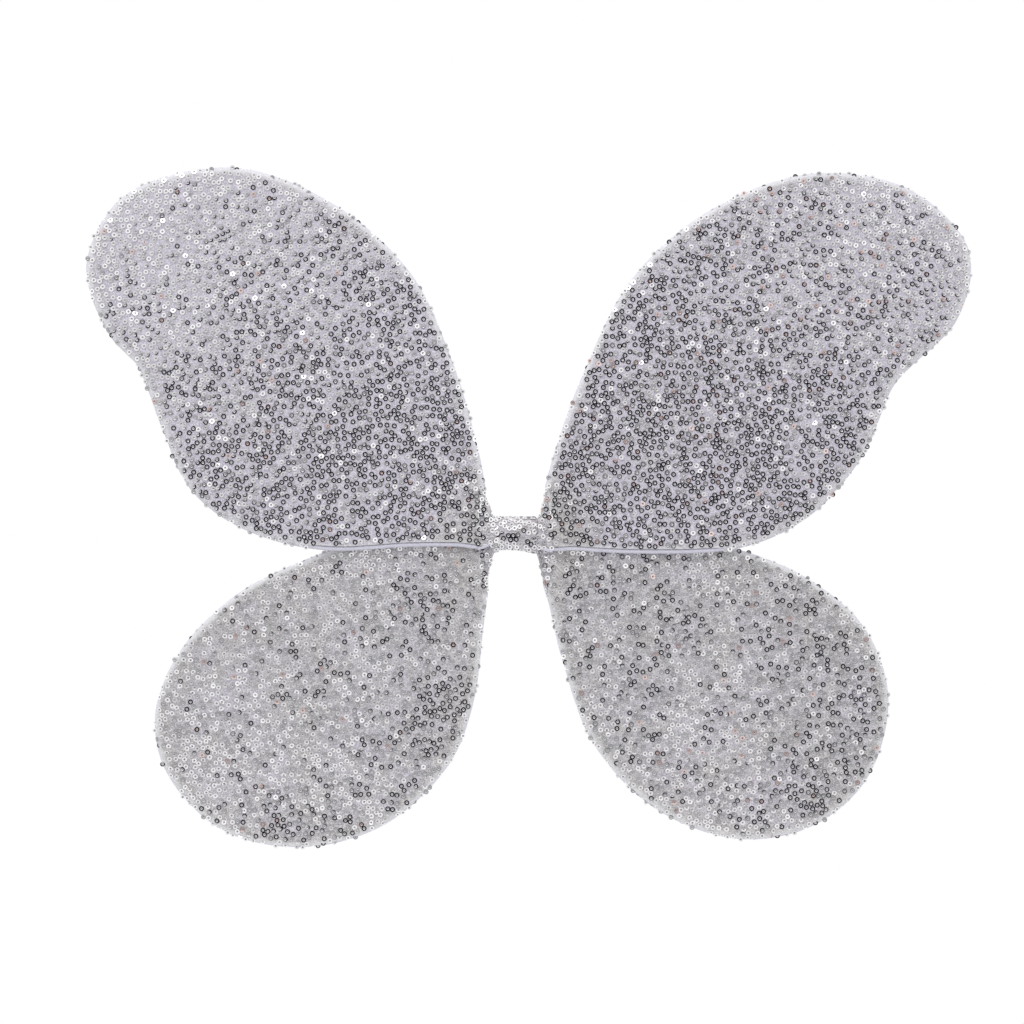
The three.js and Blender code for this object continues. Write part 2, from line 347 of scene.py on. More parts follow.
def net_group():
    """Fine net: curling threads, streaks along a strand for gathered pleats (their bump, with their
    shade and light painted into the colour), and slow patches.
    """
    tree, given, result = group(
        "net",
        [("Mesh size", "Float"), ("Strand", "Vector"), ("Pleat bump and shade", "Float")],
        [("Thread", "Float"), ("Patch", "Float")],
    )
    place = node(tree, "TexCoord").outputs["Object"]
    curls = node(tree, "TexNoise", Vector=place, Scale=given.outputs[0], Detail=1.5)
    off = node(tree, "Math", operation="SUBTRACT", in0=curls.outputs[0], in1=0.5)
    line = node(tree, "Math", operation="ABSOLUTE", in0=off.outputs[0])
    drawn = ranged(tree, line.outputs[0], high=0.09, to_low=1.0, to_high=0.0)
    fine = node(tree, "TexNoise", Vector=place, Scale=1500.0, Detail=3.0, Roughness=0.7)
    both = node(tree, "Math", operation="ADD", in0=drawn, in1=fine.outputs[0])
    net = node(tree, "Math", operation="MULTIPLY", in0=both.outputs[0], in1=0.55)
    # Streaks along the strand: the bump of fine pleats, and in the colour their painted shade and
    # light.
    streaks = node(tree, "TexNoise", Vector=given.outputs[1], Scale=1.0, Detail=3.0, Roughness=0.6)
    sharp = ranged(tree, streaks.outputs[0], 0.36, 0.64)
    blend = node(tree, "Mix", in0=given.outputs[2], in2=net.outputs[0], in3=sharp)
    slow = node(tree, "TexNoise", Vector=place, Scale=110.0, Detail=4.0, Roughness=0.65)
    tree.links.new(blend.outputs[0], result.inputs["Thread"])
    tree.links.new(slow.outputs[0], result.inputs["Patch"])
    return tree


def twist_group():
    """Twisted or ribbed yarn: fine slanting ridges and a little fluff."""
    tree, given, result = group("yarn", [("Ridges", "Float")], [("Height", "Float")])
    place = node(tree, "TexCoord").outputs["Object"]
    ridges = node(tree, "TexWave", Vector=place, Scale=given.outputs[0], Distortion=1.5, Detail=2.0)
    fluff = node(tree, "TexNoise", Vector=place, Scale=2600.0, Detail=3.0)
    both = node(tree, "Math", operation="ADD", in0=ridges.outputs["Fac"], in1=fluff.outputs[0])
    tree.links.new(both.outputs[0], result.inputs["Height"])
    return tree


NET = net_group()
YARN = twist_group()


def material(name):
    """A new material, its tree and its Principled shader."""
    made = bpy.data.materials.new(name)
    made.use_nodes = True
    return made, made.node_tree, made.node_tree.nodes["Principled BSDF"]


def grouped(tree, used, **inputs):
    made = tree.nodes.new("ShaderNodeGroup")
    made.node_tree = used
    set_inputs(made, **inputs)
    return made


def raised(tree, shader, height, distance, strength):
    """Bumps a shader by a height socket."""
    bump = node(tree, "Bump", Height=height, Distance=distance, Strength=strength)
    tree.links.new(bump.outputs[0], shader.inputs["Normal"])


def net_cloth(name, cool, warm, pale, sheen):
    """Silver net, lilac or warm grey in patches, and paler where it turns over a rim."""
    made, tree, shader = material(name)
    net = grouped(tree, NET, Mesh_size=820.0)
    strand = node(tree, "Attribute", attribute_name="strand")
    pleat_bump_and_shade = node(tree, "Attribute", attribute_name="pleat_bump_and_shade")
    warmth = node(tree, "Attribute", attribute_name="warmth")
    edge = node(tree, "Attribute", attribute_name="edge")
    tree.links.new(strand.outputs["Vector"], net.inputs["Strand"])
    tree.links.new(pleat_bump_and_shade.outputs["Fac"], net.inputs["Pleat bump and shade"])
    spots = ranged(tree, net.outputs["Patch"], 0.35, 0.65)
    warmer = node(tree, "Math", operation="MULTIPLY", in0=spots, in1=0.7)
    share = node(tree, "Math", operation="ADD", in0=warmer.outputs[0], in1=warmth.outputs["Fac"])
    share.use_clamp = True
    shades = [mixed(tree, share.outputs[0], a, b) for a, b in zip(cool, warm)]
    thread = mixed(tree, net.outputs["Thread"], *shades)
    tree.links.new(mixed(tree, edge.outputs["Fac"], thread, pale), shader.inputs["Base Color"])
    set_inputs(shader, Roughness=0.55, Metallic=0.15, Sheen_Weight=sheen)
    raised(tree, shader, net.outputs["Thread"], 0.3 * MM, 0.6)
    return made


def satin(name, colour, shade):
    """Smooth tricot, with soft lengthwise tone."""
    made, tree, shader = material(name)
    net = grouped(tree, NET, Mesh_size=2600.0)
    tree.links.new(mixed(tree, net.outputs["Patch"], shade, colour), shader.inputs["Base Color"])
    set_inputs(shader, Roughness=0.42, Sheen_Weight=0.25)
    raised(tree, shader, net.outputs["Thread"], 0.06 * MM, 0.35)
    return made


def yarn(name, colour, shade, ridges, depth):
    """Woven or twisted thread: elastic, tape and sewing thread."""
    made, tree, shader = material(name)
    ribs = grouped(tree, YARN, Ridges=ridges)
    half = node(tree, "Math", operation="MULTIPLY", in0=ribs.outputs[0], in1=0.5)
    tree.links.new(mixed(tree, half.outputs[0], shade, colour), shader.inputs["Base Color"])
    set_inputs(shader, Roughness=0.8)
    raised(tree, shader, ribs.outputs[0], depth, 0.5)
    return made


def felt(name, colour, shade):
    made, tree, shader = material(name)
    place = node(tree, "TexCoord").outputs["Object"]
    fibres = node(tree, "TexNoise", Vector=place, Scale=1700.0, Detail=6.0, Distortion=1.2)
    tree.links.new(mixed(tree, fibres.outputs[0], shade, colour), shader.inputs["Base Color"])
    set_inputs(shader, Roughness=0.95, Sheen_Weight=0.4)
    raised(tree, shader, fibres.outputs[0], 0.2 * MM, 0.6)
    return made


def foil(name):
    """Sequin foil: each one's own tint and polish."""
    made, tree, shader = material(name)
    tint = node(tree, "Attribute", attribute_name="tint")
    tree.links.new(tint.outputs["Color"], shader.inputs["Base Color"])
    polish = ranged(tree, tint.outputs["Alpha"], to_low=0.03, to_high=0.34)
    tree.links.new(polish, shader.inputs["Roughness"])
    set_inputs(shader, Metallic=1.0)
    return made


def metal(name, colour, shade, roughness, scratches):
    """Drawn or pressed metal, with fine marks."""
    made, tree, shader = material(name)
    place = node(tree, "TexCoord").outputs["Object"]
    marks = node(tree, "TexNoise", Vector=place, Scale=scratches, Detail=5.0)
    tree.links.new(mixed(tree, marks.outputs[0], shade, colour), shader.inputs["Base Color"])
    set_inputs(shader, Metallic=1.0, Roughness=roughness)
    raised(tree, shader, marks.outputs[0], 0.03 * MM, 0.4)
    return made


SEQUIN_CLOTH = net_cloth(
    "sequin_net",
    ((0.36, 0.335, 0.415, 1), (0.96, 0.925, 1.0, 1)),
    ((0.23, 0.218, 0.218, 1), (0.9, 0.874, 0.866, 1)),
    (0.86, 0.86, 0.88, 1),
    0.1,
)
LINING_CLOTH = net_cloth(
    "lining_net",
    ((0.5, 0.49, 0.57, 1), (0.76, 0.75, 0.83, 1)),
    ((0.46, 0.46, 0.48, 1), (0.74, 0.74, 0.76, 1)),
    (0.84, 0.84, 0.87, 1),
    0.3,
)
ROLL_CLOTH = satin("roll_satin", (0.8, 0.79, 0.88, 1), (0.66, 0.65, 0.76, 1))
ELASTIC = yarn("ribbed_elastic", (0.88, 0.88, 0.89, 1), (0.7, 0.7, 0.72, 1), 420.0, 0.1 * MM)
THREAD = yarn("sewing_thread", (0.9, 0.9, 0.93, 1), (0.66, 0.66, 0.7, 1), 900.0, 0.05 * MM)
TAPE = yarn("cloth_tape", (0.86, 0.86, 0.87, 1), (0.7, 0.7, 0.71, 1), 700.0, 0.08 * MM)
PATCH_FELT = felt("patch_felt", (0.78, 0.77, 0.81, 1), (0.6, 0.59, 0.65, 1))
FOIL = foil("sequin_foil")
STEEL = metal("drawn_steel", (0.62, 0.63, 0.65, 1), (0.48, 0.49, 0.5, 1), 0.32, 900.0)
ALUMINIUM = metal("pressed_aluminium", (0.78, 0.79, 0.8, 1), (0.66, 0.67, 0.68, 1), 0.38, 500.0)

# ---- sequins ----------------------------------------------------------------------------------

SILVER = np.array([0.957, 0.942, 0.952])
ROSE = np.array([0.84, 0.68, 0.65])
# Tints of painted shade in each sequin's dimple, and of painted shadow on the cap that closes its
# hole.
CUP_PAINTED_SHADE = 0.62
HOLE_PAINTED_SHADOW = 0.16


def sequins(name, centres, normals, rng, rosy):
    """One piece of many sequins: a flat rim round a dimple tinted darker as painted shade, and a
    cap in the hole tinted dark as painted shadow.
    """
    count, n = len(centres), SEQUIN_SIDES
    across = unit(np.cross(normals, rng.normal(size=(count, 3))))
    along = np.cross(normals, across)
    turn = full_turn(n)
    around = (
        across[:, None] * np.cos(turn)[None, :, None] + along[:, None] * np.sin(turn)[None, :, None]
    )
    profile = (
        (SEQUIN_HOLE, 0),
        (SEQUIN_CREASE, SEQUIN_RISE),
        (SEQUIN_RADIUS, SEQUIN_RISE - SEQUIN_RIM_DROP),
    )
    rings = [
        centres[:, None] + around * radius + normals[:, None] * rise for radius, rise in profile
    ]
    tip = centres - normals * SEQUIN_TIP
    points = np.concatenate([np.concatenate(rings, 1), tip[:, None]], 1)
    j, k = neighbours(n)
    bands = np.vstack([np.stack([a + j, b + j, b + k, a + k], -1) for a, b in ((0, n), (n, 2 * n))])
    under = np.stack([2 * n + k, 2 * n + j, np.full(n, 3 * n)], -1)
    shift = (np.arange(count) * (3 * n + 1))[:, None, None]
    faces = [(one[None] + shift).reshape(-1, one.shape[1]) for one in (bands, under, j[None])]
    made = piece(name, points.reshape(-1, 3), faces, FOIL, shade_smooth=False)
    tint = SILVER * rng.uniform(0.86, 1.04, (count, 1))
    tint = np.where(rng.random((count, 1)) < rosy, ROSE, np.minimum(tint, 1))
    colours = np.concatenate([tint, rng.random((count, 1)) ** 4], 1)
    # The dimple is darkened as painted shade, and the cap in the hole is darkened as painted
    # shadow.
    cup, hole = colours * CUP_PAINTED_SHADE, colours * HOLE_PAINTED_SHADOW
    cup[:, 3] = hole[:, 3] = 1
    bands = np.concatenate([np.repeat(one[:, None], n, 1) for one in (cup, colours)], 1)
    per_face = [bands.reshape(-1, 4), np.repeat(colours, n, 0), hole]
    mark(made, "tint", np.vstack(per_face), "FLOAT_COLOR", "FACE")
    lay_out(made, count)
    return made


def lay_out(obj, count):
    """A map with a small square for each sequin, and in it its cup, its rim and its hole."""
    side, n = math.ceil(math.sqrt(count)), SEQUIN_SIDES
    index = np.arange(count)
    corner = np.stack([index % side, index // side], -1) / side
    turn = full_turn(n)
    cup = np.array([[0.1, 0.1], [0.42, 0.1], [0.42, 0.6], [0.1, 0.6]])
    rim = cup + [0.48, 0]
    hole = np.stack([0.5 + 0.35 * np.cos(turn), 0.8 + 0.09 * np.sin(turn)], -1)
    bands = np.stack([cup] * n + [rim] * n)
    patches = (bands, np.stack([rim[:3]] * n), hole[None])
    places = [corner[:, None, None] + shapes[None] / side for shapes in patches]
    layer = obj.data.uv_layers.new(name="OFBake")
    flat = np.concatenate([place.reshape(-1) for place in places])
    layer.uv.foreach_set("vector", flat.astype(np.float32))


def jittered(normals, rng, degrees, loose=0.0):
    """Normals each knocked off true by a few degrees, and a share of them by many."""
    amount = np.where(rng.random(len(normals)) < loose, 9.0, degrees)[:, None]
    return unit(normals + rng.normal(size=normals.shape) * np.radians(amount))


# ---- the wings --------------------------------------------------------------------------------


class Wing:
    """One wing's outline and depths, read from its packed panels."""

    def __init__(self, name, slack, tilt, loose, droop, aside, flat_spots, rosy, seed):
        """droop and aside are how far its sequins face down and right, but for flat_spots."""
        self.name, self.slack, self.tilt, self.loose = name, slack, tilt, loose
        self.droop, self.aside, self.flat_spots = droop, aside, flat_spots
        self.rosy, self.seed = rosy, seed
        self.level, self.hand = name.split("_")
        self.side = -1 if self.hand == "left" else 1
        self.body = f"{name}_wing"
        front = node_points(f"{name}_sequin_panel")
        back = node_points(f"{name}_back_lining")
        self.middle, corners = self.outline(front)
        near, self.bow = self.fitted(front, min)
        far, _ = self.fitted(back, max)
        self.plane = (near + far) / 2
        self.face = (far - near) / 2 - CLOTH_THICKNESS
        self.draw_rim(corners)

    @staticmethod
    def outline(points):
        """The panel's middle, and its rim's corners in order of their angle about it."""
        flat = np.unique(np.round(points[:, [0, 2]], 6), axis=0)
        middle = flat[np.argmin(np.linalg.norm(flat - flat.mean(0), axis=1))]
        away = flat - middle
        gap = np.linalg.norm(2 * away[:, None] - away[None], axis=2).min(1)
        rim = flat[gap > 0.05 * MM]
        turn = np.arctan2(*(rim - middle).T[::-1])
        return middle, rim[np.argsort(turn)]

    @staticmethod
    def fitted(points, pick):
        """The depth at the origin and the bow of a panel's outer face."""
        by_place = {}
        for x, y, z in points:
            by_place.setdefault((round(x, 5), round(z, 5)), []).append(y)
        places = np.array(list(by_place))
        depth = np.array([pick(ys) for ys in by_place.values()])
        cubed = np.hypot(*places.T) ** 3
        (bow, base), *_ = np.linalg.lstsq(
            np.stack([cubed, np.ones_like(cubed)], 1), depth, rcond=None
        )
        return base, bow

    def draw_rim(self, corners):
        """A finely drawn rim, a little inside the corners, with its outward directions."""
        closed = np.vstack([corners[-2:], corners, corners[:3]])
        rim = through(closed, (len(closed) - 1) * 12 + 1)[24:-36]
        steps = np.roll(rim, -1, 0) - np.roll(rim, 1, 0)
        out = unit(np.stack([steps[:, 1], -steps[:, 0]], 1))
        rim = rim - out * RIM_INSET
        spoke = rim - self.middle
        turn = np.arctan2(spoke[:, 1], spoke[:, 0])
        order = np.argsort(turn)
        self.rim, self.out, self.turn = rim[order], out[order], turn[order]
        self.reach = np.linalg.norm(spoke, axis=1)[order]
        self.lean = np.abs((unit(spoke) * out).sum(1))[order]

    def at(self, values, turn):
        return np.interp(turn, self.turn, values, period=2 * math.pi)

    def edge_distance(self, x, z):
        """How far inside the rim a point is."""
        dx, dz = x - self.middle[0], z - self.middle[1]
        turn = np.arctan2(dz, dx)
        return (self.at(self.reach, turn) - np.hypot(dx, dz)) * self.at(self.lean, turn)

    def bare(self, turn):
        """How much of the roll shows along the rim: the lower edge of an upper wing only."""
        if self.level == "lower":
            return 0 * turn
        x, z = (self.at(self.rim[:, i], turn) for i in (0, 1))
        under = smooth(-z, 1 * MM, 4 * MM) * smooth(-self.at(self.out[:, 1], turn), 0.6, 0.9)
        return ROLL_SHOWING * under * smooth(-np.abs(x), -130 * MM, -112 * MM)

    def bowed(self, x, z):
        return self.bow * np.hypot(x, z) ** 3

    def from_root(self, x, z):
        """Distance and direction from where the wing's cloth is gathered."""
        across = np.abs(x) - 10 * MM
        rise = z - (3 * MM if self.level == "upper" else -5 * MM)
        return np.hypot(across, rise), np.arctan2(rise, across)

    def calm(self, x, z):
        """1 over most of the wing, and less where its cloth and sequins lie flat."""
        calm = 1 + 0 * x
        for across, up, reach, share in self.flat_spots:
            far = np.hypot(x - across * MM, z - up * MM) / (reach * MM)
            calm = calm * (1 - share * np.exp(-(far**2)))
        return calm

    def relief(self, x, z):
        """Height of the cloth's gathers, creases and slack."""
        far, turn = self.from_root(x, z)
        wander = 0.3 * rough(x, z, 14 * MM, self.seed)
        gathers = np.cos(17 * turn + 5 * wander + self.seed) * np.exp(-far / (16 * MM))
        creases = np.cos(9 * turn + 7 * wander + 2 * self.seed) * np.exp(-far / (55 * MM))
        creases = creases * smooth(far, 8 * MM, 30 * MM)
        lumps = rough(x, z, 17 * MM, self.seed + 1) + 0.5 * rough(x, z, 8 * MM, self.seed + 2)
        inside = smooth(self.edge_distance(x, z), 0, 7 * MM)
        return (2.2 * gathers + 1.2 * creases + lumps) * self.slack * inside * self.calm(x, z)

    def height(self, x, z):
        """From the wire's plane to either cloth's outer face."""
        inwards = self.edge_distance(x, z)
        round_over = np.clip(inwards / RIM_ROUNDING, 0, 1)
        rounded = np.sqrt(1 - (1 - round_over) ** 2)
        sag = CLOTH_SAG * smooth(inwards, RIM_ROUNDING, 45 * MM)
        return RIM_LIFT + (self.face - RIM_LIFT) * rounded - sag + self.relief(x, z)

    def surface(self, x, z, facing=-1):
        """Points on the front cloth, or with facing 1 on the lining."""
        depth = self.plane + self.bowed(x, z) + facing * self.height(x, z)
        return np.stack([x, depth, z], -1)

    def normals(self, x, z, facing=-1, step=0.25 * MM):
        right = self.surface(x + step, z, facing) - self.surface(x - step, z, facing)
        up = self.surface(x, z + step, facing) - self.surface(x, z - step, facing)
        return unit(np.cross(right, up)) * (1 if facing < 0 else -1)

    def hang(self, x, z):
        """How the sequins' normals lean, down and to the side, where they don't lie flat."""
        lumps = 0.3 * rough(x, z, 26 * MM, self.seed + 7) + 0.3 * rough(x, z, 9 * MM, self.seed + 8)
        down = self.droop * (1 + lumps + 1.8 * (z + 0.1))
        lean = np.stack([self.aside + 0 * x, 0 * x, -down], -1)
        return np.radians(lean) * self.calm(x, z)[:, None]

    def area(self):
        x, z = self.rim.T
        return abs(np.dot(x, np.roll(z, -1)) - np.dot(z, np.roll(x, -1))) / 2

    def flat(self):
        return tuple(float(v) for v in np.ptp(self.rim, axis=0))

    def tone(self, made, x, z, facing):
        """Where the cloth is streaked by gathers (their pleats' bump, with painted shade and
        light), warm in tone, or pale at its rim.
        """
        far, turn = self.from_root(x, z)
        inwards = self.edge_distance(x, z)
        lumps = rough(x, z, 20 * MM, self.seed + 5)
        mark(made, "edge", 0.75 * (1 - smooth(inwards, 0.5 * MM, 5.0 * MM)))
        # Painted shade and light of pleats, with their bump, fading away from the root.
        mark(made, "pleat_bump_and_shade", 0.45 * (1 - smooth(far + 6 * MM * lumps, 12 * MM, 45 * MM)))
        warmth = 1 - smooth(far, 10 * MM, 50 * MM)
        warmth = warmth + (0.7 if self.level == "lower" and facing < 0 else 0)
        warmth = warmth + 0.5 * (1 - smooth(inwards, 3 * MM, 9 * MM)) - 0.45
        mark(made, "warmth", warmth + 0.25 * lumps)
        strand = np.stack([22 * turn, far / (14 * MM), 0 * far + self.seed + facing], -1)
        mark(made, "strand", strand.reshape(-1), "FLOAT_VECTOR")


def cloth(wing, name, facing, material, node_name):
    """A cloth stretched over a wing's wire: a thin closed shell on a web of spokes and rings."""
    turn = np.linspace(-math.pi, math.pi, SPOKES, endpoint=False)
    reach, lean = wing.at(wing.reach, turn), wing.at(wing.lean, turn)
    trim = wing.bare(turn) if facing < 0 else 0 * turn
    edge_steps = np.array([0, 0.12, 0.4, 0.9, 1.6, 2.5, 3.6]) * MM
    edge = reach[None] - (trim[None] + edge_steps[:, None]) / lean[None]
    inner = edge[-1:] * np.linspace(1, 0, RINGS + 1)[1:-1, None]
    spokes = np.vstack([edge, inner])
    x = wing.middle[0] + spokes * np.cos(turn)
    z = wing.middle[1] + spokes * np.sin(turn)
    outer = wing.surface(x, z, facing)
    centre = wing.surface(*(wing.middle[i : i + 1] for i in (0, 1)), facing)
    rows, columns = spokes.shape
    skin = np.vstack([outer.reshape(-1, 3), centre])
    under = skin + np.array([0, -facing * CLOTH_THICKNESS, 0])
    total = len(skin)
    web = quads(rows, columns, True)
    j, k = neighbours(columns)
    last = (rows - 1) * columns
    hub = np.stack([j + last, k + last, np.full(columns, total - 1)], -1)
    hem = np.stack([j, k, k + total, j + total], -1)
    faces = [
        np.vstack([web, web[:, ::-1] + total, hem[:, ::-1]]),
        np.vstack([hub, hub[:, ::-1] + total]),
    ]
    made = piece(name, np.vstack([skin, under]), faces, material)
    face_out(made)
    wing.tone(made, *np.tile(skin[:, [0, 2]], (2, 1)).T, facing)
    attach(made, wing.body)
    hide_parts(node_name)
    return made


def cloth_roll(name, line, radius, sides):
    """A round roll of satin along a line, with a radius for each of its points."""
    ahead = unit(np.gradient(line, axis=0))
    side = unit(np.cross(ahead, [0, 1, 0]))
    turn = full_turn(sides)[:, None]
    ring = side[:, None] * np.cos(turn) + np.cross(side, ahead)[:, None] * np.sin(turn)
    return solid_sweep(name, line[:, None] + ring * radius[:, None, None], ROLL_CLOTH)


def edge_roll(wing):
    """The cloth roll that holds the wire, round the rim from one side of the root to the other."""
    rim, out = wing.rim, wing.out
    root = np.argmin(np.abs(rim[:, 0]) + np.abs(rim[:, 1] + 1 * MM))
    order = (root + 4 + np.arange(len(rim) - 8)) % len(rim)
    flat = (rim - out * (ROLL_RADIUS + 0.1 * MM - RIM_INSET))[order]
    depth = wing.plane + wing.bowed(flat[:, 0], flat[:, 1])
    line = np.stack([flat[:, 0], depth, flat[:, 1]], -1)
    along = np.concatenate([[0], np.cumsum(np.linalg.norm(np.diff(line, axis=0), axis=1))])
    radius = ROLL_RADIUS * (0.96 + 0.04 * np.abs(np.sin(math.pi * along / ROLL_STITCH)))
    made = cloth_roll(f"{wing.name}_edge_roll", line, radius, 12)
    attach(made, wing.body)
    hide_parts(f"{wing.name}_edge_casing")
    return made


def wing_sequins(wing, covered):
    """Sequins over the front cloth, turning with it over the rim, and a few that stray past it."""
    rng = np.random.default_rng(wing.seed)
    count = int(wing.area() / SEQUIN_AREA)
    pick = rng.permutation(len(wing.rim))[: len(wing.rim) // 3]
    pick = pick[~covered(*wing.rim[pick].T) & (wing.bare(wing.turn[pick]) < MM)]
    stray = wing.rim[pick] + wing.out[pick] * rng.uniform(-1.3, 0.3, (len(pick), 1)) * MM
    x, z = rng.uniform(wing.rim.min(0), wing.rim.max(0), (count * 11, 2)).T
    turn = np.arctan2(z - wing.middle[1], x - wing.middle[0])
    inside = wing.edge_distance(x, z) > 0.7 * MM + 1.3 * wing.bare(turn)
    far, _ = wing.from_root(x, z)
    thin = smooth(rough(x, z, 9 * MM, wing.seed + 9), 0.1, 0.5) * (1 - smooth(far, 0.02, 0.07))
    kept = inside & ~covered(x, z) & (rng.random(len(x)) > 0.7 * thin)
    places = np.vstack([stray, np.stack([x[kept], z[kept]], -1)])
    kept = spread(np.insert(places, 1, 0, axis=1), SEQUIN_SPACING, count)
    x, z = places[kept[kept >= len(stray)]].T
    kept = kept[kept < len(stray)]
    pick, stray = pick[kept], stray[kept]
    calm = wing.calm(x, z)
    facing = wing.normals(x, z, -1, 0.8 * MM) + wing.hang(x, z)
    normals = jittered(facing, rng, wing.tilt * (0.4 + 0.6 * calm), wing.loose * calm)
    centres = wing.surface(x, z) + normals * rng.uniform(0.03, 0.3, (len(x), 1)) * MM
    depth = wing.plane + wing.bowed(*stray.T) - rng.uniform(0.6, 2.2, len(pick)) * MM
    stray = np.stack([stray[:, 0], depth, stray[:, 1]], -1)
    aside = np.stack([0.2 * wing.out[pick, 0], 0 * pick - 1.0, 0.15 * wing.out[pick, 1] - 0.1], -1)
    made = sequins(
        f"{wing.name}_sequins",
        np.vstack([centres, stray]),
        np.vstack([normals, jittered(unit(aside), rng, 14)]),
        rng,
        wing.rosy,
    )
    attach(made, wing.body)
    return made


def dress_wing(wing, neck):
    name, wire, area = wing.name, f"{wing.name}_wire", wing.area()
    front = cloth(
        wing, f"{name}_sequin_cloth", -1, SEQUIN_CLOTH, f"{name}_sequin_panel"
    )
    lining = cloth(
        wing, f"{name}_lining_cloth", 1, LINING_CLOTH, f"{name}_back_lining"
    )
    roll = edge_roll(wing)
    dots = wing_sequins(wing, neck.covers)
    wing.flat()
    wing.flat()


# ---- the gathered necks between the wings and the bridge --------------------------------------

SLEEVE_LOW, SLEEVE_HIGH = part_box("centre_sleeve")
BRIDGE_END = SLEEVE_HIGH.x
SLEEVE_MIDDLE = (SLEEVE_LOW.y + SLEEVE_HIGH.y) / 2
SLEEVE_TOP = SLEEVE_HIGH.z - 0.8 * MM


class Neck:
    """The gathered end of a wing's cloth: from its mouth round the sleeve it spreads to the wing.

    Lengths named out are from the middle of the bridge towards the wing's own side.
    """

    def __init__(self, wing, mouth, fall):
        """mouth is how far out it starts, and fall how low an upper wing's lower edge starts."""
        self.wing, self.mouth, self.upper = wing, mouth, wing.level == "upper"
        self.root = BRIDGE_END + 10 * MM
        self.front = SLEEVE_LOW.y - (0.35 * MM if self.upper else 0.1 * MM)
        self.back = SLEEVE_HIGH.y - 1.2 * MM
        top, bottom = self.upper_edges(fall) if self.upper else self.lower_edges()
        self.top, self.bottom = through(top, NECK_ROWS), through(bottom, NECK_ROWS)

    def edge_out(self, z):
        """How far out the wing's inner edge is at a height."""
        rim = self.wing.rim[np.abs(self.wing.rim[:, 0]) < 60 * MM]
        return np.abs(rim[np.abs(rim[:, 1] - z) < 1.2 * MM, 0]).min()

    def edge_height(self, out):
        """The height of the wing's edge that faces the other wing, so far out."""
        rim = self.wing.rim[np.abs(np.abs(self.wing.rim[:, 0]) - out) < 1.2 * MM, 1]
        return rim.min() if self.upper else rim.max()

    def upper_edges(self, fall):
        """An upper neck's top and bottom edges, as [out, up] knots."""
        mouth, high = self.mouth, 22 * MM
        start = max(mouth, BRIDGE_END)
        top = [
            (mouth, SLEEVE_TOP + 0.3 * MM),
            (start + 0.2 * MM, SLEEVE_TOP + 0.7 * MM),
            (start + 1.7 * MM, SLEEVE_TOP + 2.6 * MM),
            (start + 2.6 * MM, SLEEVE_TOP + 6.5 * MM),
            (self.edge_out(high) - 0.7 * MM, high),
            (self.edge_out(NECK_REACH) - 0.3 * MM, NECK_REACH),
        ]
        root = self.edge_height(self.root)
        bottom = [
            (mouth, fall - 0.6 * MM),
            (start + 0.2 * MM, fall - 0.6 * MM),
            (start + 2.0 * MM, fall),
            (start + 4.0 * MM, fall * 0.6 + root * 0.4),
            (self.root - 3 * MM, fall * 0.2 + root * 0.8),
            (self.root, root),
        ]
        return top, bottom

    def lower_edges(self):
        mouth, low, end = self.mouth, -24 * MM, -NECK_REACH - 6 * MM
        bottom = [
            (mouth, SLEEVE_LOW.z - 0.7 * MM),
            (BRIDGE_END + 0.2 * MM, SLEEVE_LOW.z - 1.4 * MM),
            (BRIDGE_END + 1.6 * MM, SLEEVE_LOW.z - 5.0 * MM),
            (BRIDGE_END + 2.6 * MM, SLEEVE_LOW.z - 9.0 * MM),
            (self.edge_out(low) - 0.6 * MM, low),
            (self.edge_out(end) - 0.3 * MM, end),
        ]
        root = self.edge_height(self.root)
        top = [
            (mouth, SLEEVE_TOP - 3 * MM),
            (BRIDGE_END, SLEEVE_TOP - 4 * MM),
            (BRIDGE_END + 2 * MM, 4.5 * MM),
            (BRIDGE_END + 4 * MM, 2.5 * MM),
            (self.root - 3 * MM, root + 1 * MM),
            (self.root, root),
        ]
        return top, bottom

    def covers(self, x, z):
        """Whether a point of the wing lies under the neck."""
        a, b = self.bottom[-1], self.top[-1]
        along = b - a
        return along[0] * (z - a[1]) - along[1] * (np.abs(x) - a[0]) > 0

    def points(self, row, across, facing):
        """Points on the neck's front or back, from shares along it and across it."""
        rows = np.arange(NECK_ROWS) / (NECK_ROWS - 1)
        out, z = (
            np.interp(row, rows, self.bottom[:, i]) * (1 - across)
            + np.interp(row, rows, self.top[:, i]) * across
            for i in (0, 1)
        )
        x = self.wing.side * out
        wing = self.wing
        joined = smooth(row, 0.1, 0.8)
        low_start = self.front + 1.8 * MM if self.upper else SLEEVE_MIDDLE
        start = low_start * (1 - across) + SLEEVE_MIDDLE * across
        middle = start * (1 - joined) + wing.plane * joined
        face = self.front if facing < 0 else self.back
        side = face * (1 - joined) + (wing.plane + facing * (wing.face + 0.1 * MM)) * joined
        fat = np.clip(1 - np.abs(2 * across - 1) ** 3.2, 0, 1) ** 0.5
        depth = middle * (1 - fat) + side * fat
        tuck = 0.9 * MM * (1 - smooth(row, 0, 0.07)) * fat
        ridges = np.cos(2 * math.pi * 5.5 * across + wing.seed + 2 * row) * NECK_GATHER
        depth = depth + facing * (ridges * fat * (1 - smooth(row, 0.35, 1)) - tuck)
        over = (wing.height(x, z) + 0.3 * MM) * smooth(row, 0.5, 0.8) * np.minimum(1, fat * 4)
        over = np.where(wing.edge_distance(x, z) > 0, over, 0)
        depth = facing * np.maximum(facing * depth, facing * wing.plane + over)
        return np.stack([x, depth + wing.bowed(x, z), z], -1)

    def normals(self, row, across):
        along = self.points(row + 0.03, across, -1) - self.points(row - 0.03, across, -1)
        up = self.points(row, across + 0.05, -1) - self.points(row, across - 0.05, -1)
        return unit(np.cross(along, up)) * self.wing.side

